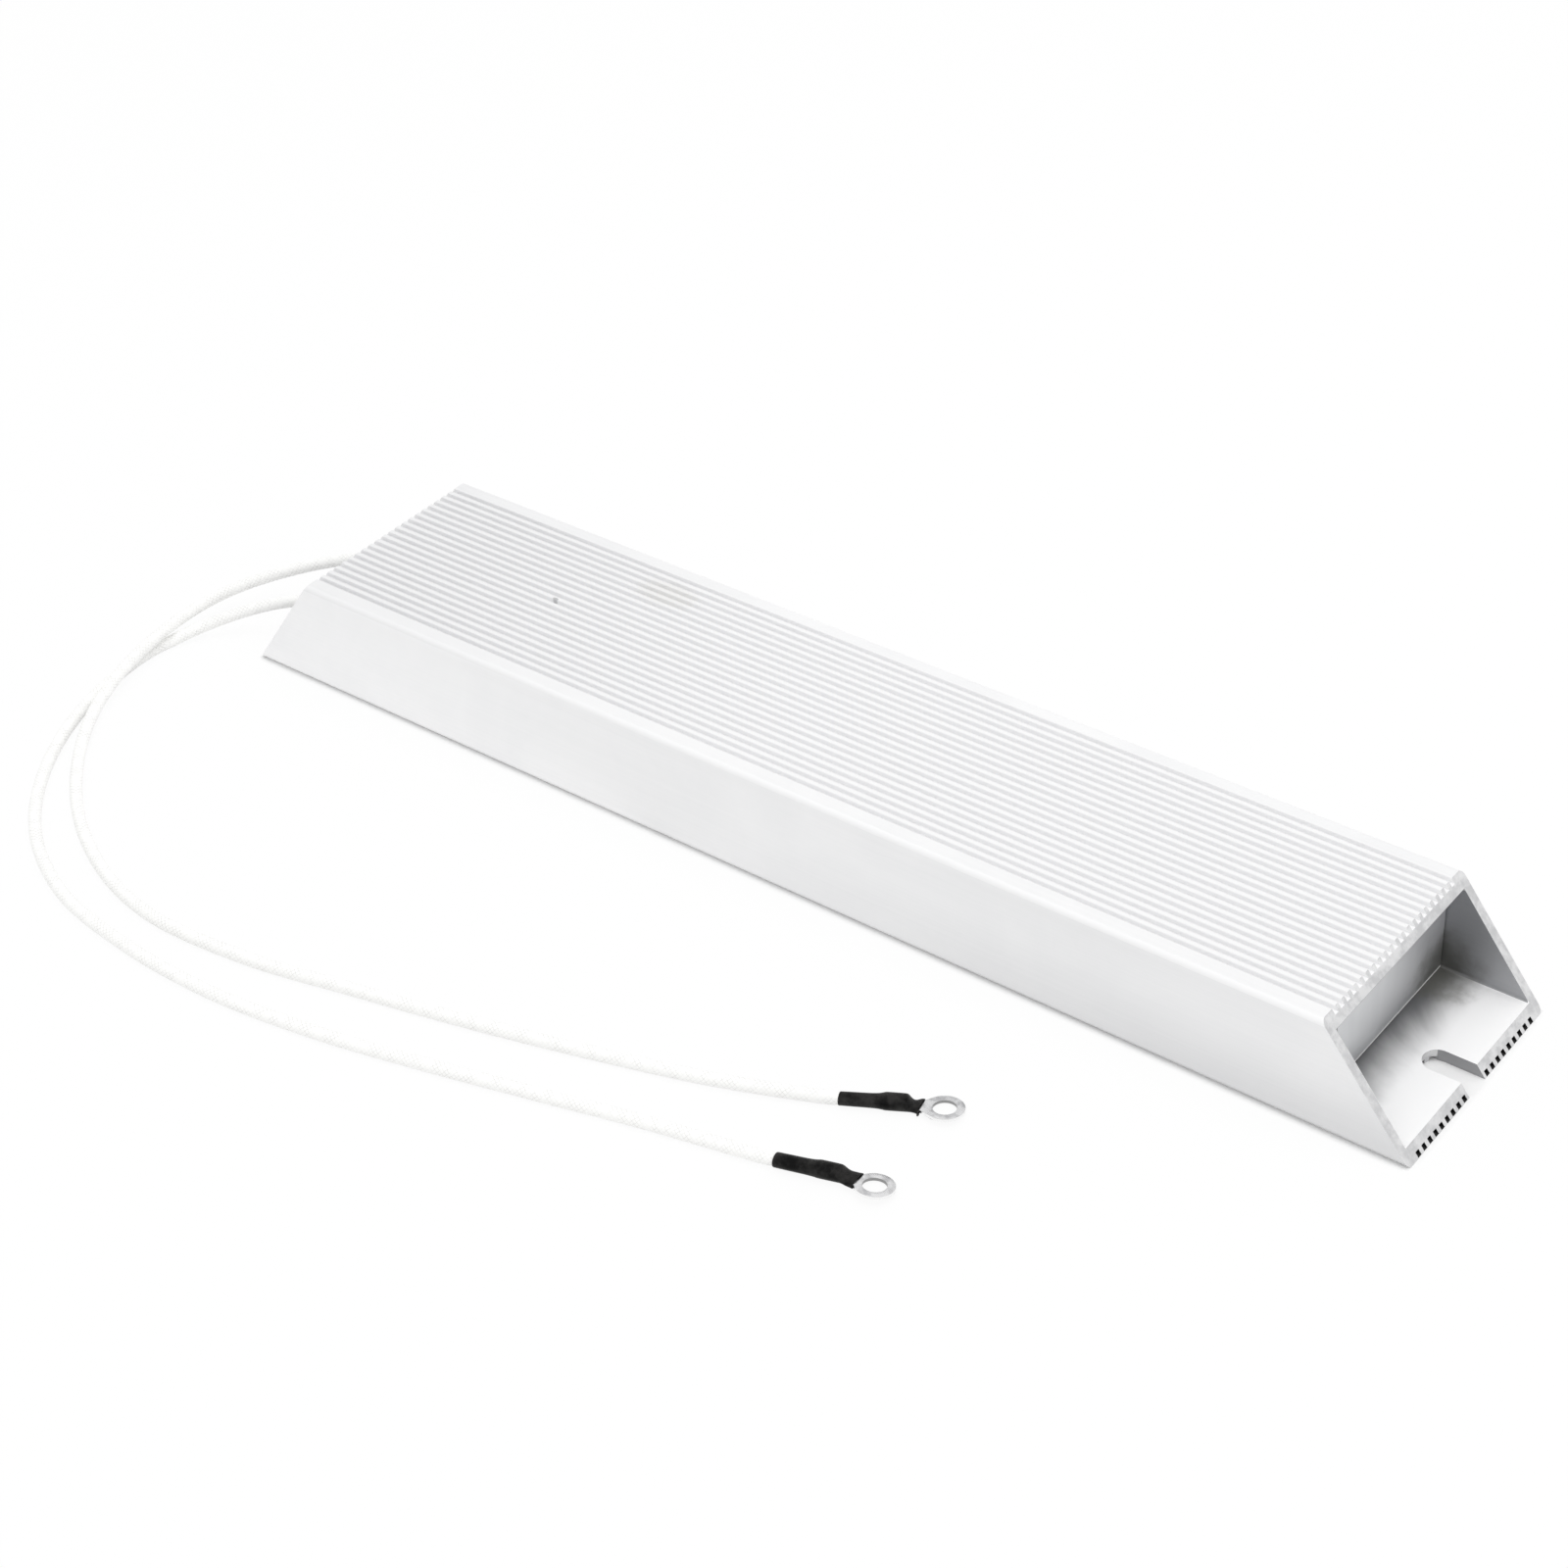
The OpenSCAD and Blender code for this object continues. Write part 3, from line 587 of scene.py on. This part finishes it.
def makeAluminium():
    material, tree, shader = startMaterial("satinAluminium", Metallic=aluminium["metallic"])
    (x, y, z), (nx, ny, nz) = splitPlace(tree)
    marks = useGroup(tree, grain, Streaks=1400.0, Clouds=26.0)
    streak, cloud = marks.outputs["Streak"], marks.outputs["Cloud"]
    aside, along = magnitude(tree, y), magnitude(tree, x)
    endwise, sideways, upright = (magnitude(tree, value) for value in (nx, ny, nz))
    tone = mathNode(tree, "ADD", mathNode(tree, "MULTIPLY", streak, 1 - aluminium["cloudShare"]),
                    mathNode(tree, "MULTIPLY", cloud, aluminium["cloudShare"]))
    colour = mixColour(tree, tone, aluminium["bright"], aluminium["cloudy"])
    # painted shade: the sides are painted greyer low down and towards the open end
    shade = allOf(tree, ramp(tree, z, zones["shadeTop"], 0.0), ramp(tree, x, *zones["shadeSpan"]))
    overall = mathNode(tree, "MULTIPLY", ramp(tree, x, *zones["alongSpan"]), aluminium["shadeAlong"])
    shade = mathNode(tree, "MULTIPLY_ADD", shade, aluminium["shadeLow"], overall)
    shade = allOf(tree, shade, ramp(tree, sideways, 0.3, 0.8))
    colour = mixColour(tree, shade, colour, aluminium["shade"])
    # the ribs on top and the grooves between them, with painted shade: the grooves a little darker than the
    # ribs, and both greyer towards the lead end
    onTop = more(tree, z, housingHigh.z - zones["top"])
    colour = mixColour(tree, allOf(tree, onTop, less(tree, aside, zones["ribs"])), colour, aluminium["rib"])
    inGroove = allOf(tree, onTop, less(tree, z, housingHigh.z - zones["grooveFrom"]))
    colour = mixColour(tree, inGroove, colour, aluminium["groove"])
    distant = allOf(tree, onTop, ramp(tree, x, 0.0, housingLow.x, 0.0, aluminium["distantShare"]))
    colour = mixColour(tree, distant, colour, aluminium["distant"])
    for mark in marksOnTop:
        colour = addMark(tree, colour, x, y, onTop, mark)
    # sawn end faces
    sawn = more(tree, endwise, 0.5)
    burr = useGroup(tree, speckle, Scale=330.0, Low=0.36, High=0.64).outputs["Mask"]
    colour = mixColour(tree, sawn, colour, mixColour(tree, burr, aluminium["cut"], aluminium["cutBright"]))
    # painted light and shade inside the open ends: painted dark next to the plates and bright at the mouth,
    # with the walls painted darker and a little lighter away from the plate
    inner = allOf(tree, less(tree, aside, plateHigh.y + zones["slack"]),
                  more(tree, z, plateLow.z - zones["slack"]), less(tree, z, plateHigh.z + zones["slack"]))
    wander = mathNode(tree, "MULTIPLY", mathNode(tree, "SUBTRACT", cloud, 0.5), zones["recessShadeWander"])
    fromPlate = mathNode(tree, "SUBTRACT", mathNode(tree, "ADD", along, wander), plateHigh.x)
    dim = ramp(tree, fromPlate, zones["recessShadeFar"], zones["recessShadeNear"])
    inside = mixColour(tree, dim, aluminium["mouth"], aluminium["deep"])
    onWall = more(tree, sideways, 0.5)
    lit = mathNode(tree, "MULTIPLY", ramp(tree, fromPlate, 0.0, zones["wallFar"]), aluminium["wallGain"])
    inside = mixColour(tree, onWall, inside, mixColour(tree, lit, aluminium["wall"], aluminium["mouth"]))
    inside = mixColour(tree, useGroup(tree, cornerDark).outputs["Mask"], inside, cornerPatch["colour"])
    colour = mixColour(tree, inner, colour, inside)
    # grooves and inner floor are less like a mirror
    diffuse = allOf(tree, inner, mathNode(tree, "SUBTRACT", 1.0, onWall))
    diffuse = mathNode(tree, "MAXIMUM", inGroove, diffuse)
    metal = mathNode(tree, "MULTIPLY_ADD", diffuse, aluminium["grooveMetal"] - aluminium["metallic"],
                     aluminium["metallic"])
    # painted shade: the walls of the slots are painted darker than the faces round them
    slotWall = allOf(tree, less(tree, aside, zones["slot"]), less(tree, z, plateLow.z - zones["slotTop"]),
                    less(tree, upright, 0.5), mathNode(tree, "SUBTRACT", 1.0, sawn))
    colour = mixColour(tree, slotWall, colour, aluminium["slot"])
    # painted shade: the grooves underneath are painted near black
    offCentre = mathNode(tree, "PINGPONG", aside, zones["groovePitch"]/2)
    under = allOf(tree, less(tree, offCentre, zones["grooveHalf"]), less(tree, z, zones["underTop"]),
                  more(tree, z, zones["underFrom"]), less(tree, endwise, 0.3),
                  less(tree, aside, zones["footOuter"]), more(tree, aside, zones["footInner"]))
    colour = mixColour(tree, under, colour, aluminium["root"])
    rough = mathNode(tree, "MULTIPLY_ADD", streak, 0.08, aluminium["roughness"])
    bump = addNode(tree, "Bump", {"Height": streak, "Strength": 0.12, "Distance": 0.02*mm})
    tree.links.new(colour, shader.inputs["Base Color"])
    tree.links.new(rough, shader.inputs["Roughness"])
    tree.links.new(metal, shader.inputs["Metallic"])
    tree.links.new(bump.outputs[0], shader.inputs["Normal"])
    return material


plateLook = {"left": (0.80, 0.81, 0.82, 1), "right": (0.62, 0.625, 0.64, 1), "span": (-26*mm, 24*mm),
             "foot": (0.9, 0.9, 0.9, 1), "footHeight": 0.9*mm, "roughness": 0.36, "metallic": 0.8}


def makePlateMetal():
    material, tree, shader = startMaterial("plateAluminium", Metallic=plateLook["metallic"])
    (_, y, z), _ = splitPlace(tree)
    place = addNode(tree, "TexCoord").outputs["Object"]
    drawn = addNode(tree, "Mapping", {"Vector": place, "Scale": (1, 1, 0.12)}).outputs[0]
    drips = addNode(tree, "TexNoise", {"Vector": drawn, "Scale": 140.0, "Detail": 3.0}).outputs[0]
    # painted shade: the plate is painted lighter on one side and darker on the other, across y, with
    # upright streaks
    shade = mathNode(tree, "MULTIPLY_ADD", mathNode(tree, "SUBTRACT", drips, 0.5), 0.7,
                     ramp(tree, y, *plateLook["span"]))
    shade = mathNode(tree, "ADD", shade, 0.0, clamp=True)
    colour = mixColour(tree, shade, plateLook["left"], plateLook["right"])
    colour = mixColour(tree, useGroup(tree, cornerDark).outputs["Mask"], colour, cornerPatch["colour"])
    # painted highlight: the bevel along the foot is painted bright and not metallic
    foot = less(tree, z, plateLow.z + plateLook["footHeight"])
    colour = mixColour(tree, foot, colour, plateLook["foot"])
    tree.links.new(mathNode(tree, "MULTIPLY_ADD", foot, -plateLook["metallic"], plateLook["metallic"]),
                   shader.inputs["Metallic"])
    tree.links.new(colour, shader.inputs["Base Color"])
    tree.links.new(mathNode(tree, "MULTIPLY_ADD", drips, 0.2, plateLook["roughness"]),
                   shader.inputs["Roughness"])
    return material


dress(["housing"], makeAluminium())
dress(["end_plate_plain", "end_plate_lead"], makePlateMetal())


# ---- plain finishes ----

def makeSpeckled(name, light, dark, roughness, scale, metallic=0.0, depth=0.02*mm):
    material, tree, shader = startMaterial(name, Metallic=metallic)
    speck = useGroup(tree, speckle, Scale=float(scale), Low=0.35, High=0.7)
    mask = speck.outputs["Mask"]
    tree.links.new(mixColour(tree, mask, light, dark), shader.inputs["Base Color"])
    tree.links.new(mathNode(tree, "MULTIPLY_ADD", mask, 0.15, roughness), shader.inputs["Roughness"])
    bump = addNode(tree, "Bump", {"Height": speck.outputs["Height"], "Strength": 0.4, "Distance": depth})
    tree.links.new(bump.outputs[0], shader.inputs["Normal"])
    return material


ceramic = makeSpeckled("ceramic", (0.9, 0.88, 0.83, 1), (0.82, 0.79, 0.72, 1), 0.55, 900)
dress(["bushing_back", "bushing_front", "rod_back", "rod_front"], ceramic)
dress(["winding_back", "winding_front"],
      makeSpeckled("ribbon", (0.42, 0.4, 0.38, 1), (0.3, 0.27, 0.25, 1), 0.4, 600, 1.0))
dress(["cap_back_plain", "cap_front_plain", "cap_back_lead", "cap_front_lead", "series_link",
       "stud_back", "stud_front"],
      makeSpeckled("nickel", (0.68, 0.66, 0.62, 1), (0.58, 0.56, 0.52, 1), 0.3, 500, 1.0))
dress(["splice_back", "splice_front"],
      makeSpeckled("brass", (0.78, 0.6, 0.3, 1), (0.66, 0.48, 0.24, 1), 0.3, 500, 1.0))
dress(["sand_fill"],
      makeSpeckled("sand", (0.74, 0.67, 0.55, 1), (0.52, 0.46, 0.37, 1), 0.9, 2600, 0.0, 0.2*mm))
dress(["lead_tail_back", "lead_tail_front"],
      makeSpeckled("plainGlass", (0.93, 0.92, 0.89, 1), (0.86, 0.85, 0.81, 1), 0.7, 1500))
rubber = makeSpeckled("shrinkBlack", (0.002, 0.002, 0.002, 1), (0.030, 0.029, 0.028, 1), 0.3, 260)
rubber.node_tree.nodes["Principled BSDF"].inputs["Specular IOR Level"].default_value = 0.1


tinLook = {"top": (0.78, 0.78, 0.785, 1), "dim": (0.52, 0.52, 0.53, 1), "rim": (0.20, 0.20, 0.21, 1),
           "side": (0.95, 0.95, 0.95, 1), "below": (0.08, 0.08, 0.08, 1), "hole": (0.30, 0.30, 0.30, 1),
           "holeEdge": 0.12*mm, "roughness": 0.22}


def makeTin():
    material, tree, shader = startMaterial("brightTin", Metallic=1.0)
    facing = addNode(tree, "NewGeometry").outputs["True Normal"]
    upward = addNode(tree, "SeparateXYZ", {0: facing}).outputs[2]
    place = addNode(tree, "TexCoord").outputs["Object"]
    patch = addNode(tree, "TexNoise", {"Vector": place, "Scale": 380.0, "Detail": 3.0}).outputs[0]
    colour = mixColour(tree, ramp(tree, patch, 0.4, 0.65), tinLook["top"], tinLook["dim"])
    # painted light and shade: the stamped sides are painted bright, the rounded rims between them and the
    # flats dark, and the faces turned down near black
    steep = magnitude(tree, upward)
    colour = mixColour(tree, ramp(tree, steep, 0.6, 0.3), colour, tinLook["side"])
    rim = allOf(tree, ramp(tree, steep, 0.25, 0.5), ramp(tree, steep, 0.955, 0.86))
    colour = mixColour(tree, rim, colour, tinLook["rim"])
    colour = mixColour(tree, ramp(tree, upward, -0.1, -0.3), colour, tinLook["below"])
    # painted shade: the wall of each hole is painted dark
    for terminal in terminals.values():
        centre = (*ringCentre(terminal).xy, ringHeight(terminal))
        apart = addNode(tree, "VectorMath", {0: place, 1: centre}, operation="DISTANCE").outputs["Value"]
        inHole = less(tree, apart, fitting["holeDiameter"]/2 + tinLook["holeEdge"])
        colour = mixColour(tree, allOf(tree, inHole, ramp(tree, steep, 0.97, 0.8)), colour, tinLook["hole"])
    speck = useGroup(tree, speckle, Scale=900.0, Low=0.35, High=0.7)
    tree.links.new(colour, shader.inputs["Base Color"])
    tree.links.new(mathNode(tree, "MULTIPLY_ADD", speck.outputs["Mask"], 0.12, tinLook["roughness"]),
                   shader.inputs["Roughness"])
    bump = addNode(tree, "Bump", {"Height": speck.outputs["Height"], "Strength": 0.25, "Distance": 0.02*mm})
    tree.links.new(bump.outputs[0], shader.inputs["Normal"])
    return material


tin = makeTin()


# ---- glass braid, drawn on the wrap map: U once round the lead, V once for each pitch ----

def makeBraidGroup():
    tree, given, result = startGroup("glassWeave", {"Wrap": (0.0, 0.0, 0.0), "Strands": 8.0},
                                     ["Gap", "Fibre"])
    parts = addNode(tree, "SeparateXYZ", {0: given.outputs["Wrap"]})
    around, along, strands = parts.outputs[0], parts.outputs[1], given.outputs["Strands"]
    a = mathNode(tree, "MULTIPLY", mathNode(tree, "ADD", around, along), strands)
    b = mathNode(tree, "MULTIPLY", mathNode(tree, "SUBTRACT", around, along), strands)
    both = mathNode(tree, "ADD", mathNode(tree, "FLOOR", a), mathNode(tree, "FLOOR", b))
    firstOver = less(tree, mathNode(tree, "FLOORED_MODULO", both, 2.0), 0.5)
    tones, edges = [], []
    for across, lengthwise in ((a, b), (b, a)):
        fromMiddle = magnitude(tree, mathNode(tree, "SUBTRACT", mathNode(tree, "FRACT", across), 0.5))
        edges.append(ramp(tree, fromMiddle, 0.3, 0.5))
        thread = addNode(tree, "CombineXYZ", {0: mathNode(tree, "MULTIPLY", across, 9.0),
                                              1: mathNode(tree, "MULTIPLY", lengthwise, 0.5)})
        tones.append(addNode(tree, "TexNoise", {"Vector": thread.outputs[0], "Scale": 1.0,
                                                "Detail": 2.0}).outputs[0])
    for label, (first, second) in (("Gap", edges), ("Fibre", tones)):
        chosen = addNode(tree, "Mix", {0: firstOver, 2: second, 3: first})
        tree.links.new(chosen.outputs[0], result.inputs[label])
    return tree


braidLook = {"thread": (1.0, 1.0, 0.99, 1), "shade": (0.97, 0.97, 0.955, 1), "gap": (0.70, 0.695, 0.68, 1),
             "roughness": 0.7}


def makeGlass():
    material, tree, shader = startMaterial("glassBraid", Roughness=braidLook["roughness"])
    wrap = addNode(tree, "UVMap", uv_map="wrap")
    weave = useGroup(tree, makeBraidGroup(), Wrap=wrap.outputs[0], Strands=float(lead["strands"]))
    colour = mixColour(tree, weave.outputs["Fibre"], braidLook["thread"], braidLook["shade"])
    # some gaps are filled with varnish, so they show unevenly
    place = addNode(tree, "TexCoord").outputs["Object"]
    varnish = addNode(tree, "TexNoise", {"Vector": place, "Scale": 420.0}).outputs[0]
    bare = ramp(tree, varnish, 0.35, 0.65, 0.15, 0.9)
    colour = mixColour(tree, allOf(tree, weave.outputs["Gap"], bare), colour, braidLook["gap"])
    bump = addNode(tree, "Bump", {"Height": weave.outputs["Fibre"], "Strength": 0.35, "Distance": 0.04*mm})
    tree.links.new(colour, shader.inputs["Base Color"])
    tree.links.new(bump.outputs[0], shader.inputs["Normal"])
    shader.inputs["Sheen Weight"].default_value = 0.2
    return material


glass = makeGlass()


# ---- finish the pieces ----

for side, terminal in terminals.items():
    cordPiece, path, length = leads[side]
    for piece, material, slot, node in ((cordPiece, glass, "glass_braid", "lead_"),
                                        (rings[side], tin, "tinned_copper", "ring_terminal_"),
                                        (sleeves[side], rubber, "shrink_black", "heat_shrink_")):
        piece.data.materials.clear()
        piece.data.materials.append(material)
        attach(piece, "root")
        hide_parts(node + side)


# ---- floor, world and lamp ----

# contact is the painted shadow line where the housing's long sides meet the floor
studio = {"floorColour": (0.93, 0.93, 0.93, 1), "floorSize": 12, "world": 0.82, "overhead": 5.8,
          "lampPlace": (0.2, -0.02, 1.3), "lampSize": 1.0, "whiteShare": 0.93, "shadeReach": 1.5*mm,
          "contact": 0.4*mm, "contactShare": 0.08, "contactFrom": 25*mm, "inset": 0.1*mm,
          "underInner": 4.2*mm, "underOuter": 28*mm}


def makeFloor():
    bpy.ops.object.select_all(action="DESELECT")
    bpy.ops.mesh.primitive_plane_add(size=studio["floorSize"], location=(0, 0, 0))
    floor = bpy.context.object
    floor.name = "floor"
    material, tree, shader = startMaterial("paleFloor", Roughness=0.9)
    # the floor shows white but for the shadow close round the housing; under the housing it is painted near
    # black as shadow, which shows at its ends, and a faint painted shadow line runs along its long sides
    (x, y, _), _ = splitPlace(tree)
    along, aside = magnitude(tree, x), magnitude(tree, y)
    covered = allOf(tree, less(tree, along, housingHigh.x - studio["inset"]),
                    more(tree, aside, studio["underInner"]), less(tree, aside, studio["underOuter"]))
    past = [mathNode(tree, "MAXIMUM", mathNode(tree, "SUBTRACT", value, reach), 0.0)
            for value, reach in ((along, housingHigh.x), (aside, housingHigh.y))]
    squares = [mathNode(tree, "MULTIPLY", value, value) for value in past]
    away = mathNode(tree, "SQRT", mathNode(tree, "ADD", *squares))
    beside = ramp(tree, past[1], studio["contact"], studio["inset"], 0.0, studio["contactShare"])
    beside = allOf(tree, beside, more(tree, aside, studio["contactFrom"]),
                   less(tree, past[0], studio["inset"]))
    covered = mathNode(tree, "MAXIMUM", covered, beside)
    tree.links.new(mixColour(tree, covered, studio["floorColour"], aluminium["root"]),
                   shader.inputs["Base Color"])
    share = ramp(tree, away, 0.0, studio["shadeReach"], 0.0, studio["whiteShare"])
    rays = addNode(tree, "LightPath")
    seen = mathNode(tree, "MAXIMUM", rays.outputs["Is Camera Ray"], rays.outputs["Is Glossy Ray"])
    white = addNode(tree, "Emission", {"Color": (1, 1, 1, 1), "Strength": 1.0})
    mixed = addNode(tree, "MixShader", {0: allOf(tree, share, seen), 1: shader.outputs[0],
                                        2: white.outputs[0]})
    tree.links.new(mixed.outputs[0], tree.nodes["Material Output"].inputs["Surface"])
    floor.data.materials.append(material)


def makeWorld():
    world = bpy.data.worlds.new("studio")
    bpy.context.scene.world = world
    world.use_nodes = True
    tree = world.node_tree
    background = tree.nodes["Background"]
    rays = addNode(tree, "LightPath")
    seen = mathNode(tree, "MAXIMUM", rays.outputs["Is Camera Ray"],
                    mathNode(tree, "MAXIMUM", rays.outputs["Is Glossy Ray"],
                             rays.outputs["Is Transmission Ray"]))
    strength = mathNode(tree, "MULTIPLY_ADD", seen, 1 - studio["world"], studio["world"])
    background.inputs["Color"].default_value = (1, 1, 1, 1)
    tree.links.new(strength, background.inputs["Strength"])


def makeLamp(name, place, target, size, power):
    data = bpy.data.lights.new(name, "AREA")
    data.shape, data.size, data.energy = "SQUARE", size, power
    lamp = bpy.data.objects.new(name, data)
    bpy.context.scene.collection.objects.link(lamp)
    lamp.location = place
    lamp.rotation_euler = (Vector(target) - Vector(place)).to_track_quat("-Z", "Y").to_euler()
    # the bare metal mirrors the plain world alone, so that it doesn't burn out seen from above
    lamp.visible_glossy = False


makeFloor()
makeWorld()
makeLamp("overhead", studio["lampPlace"], (0, 0, 0), studio["lampSize"], studio["overhead"])
bpy.context.scene.view_settings.view_transform = "Standard"
print("studio lit")
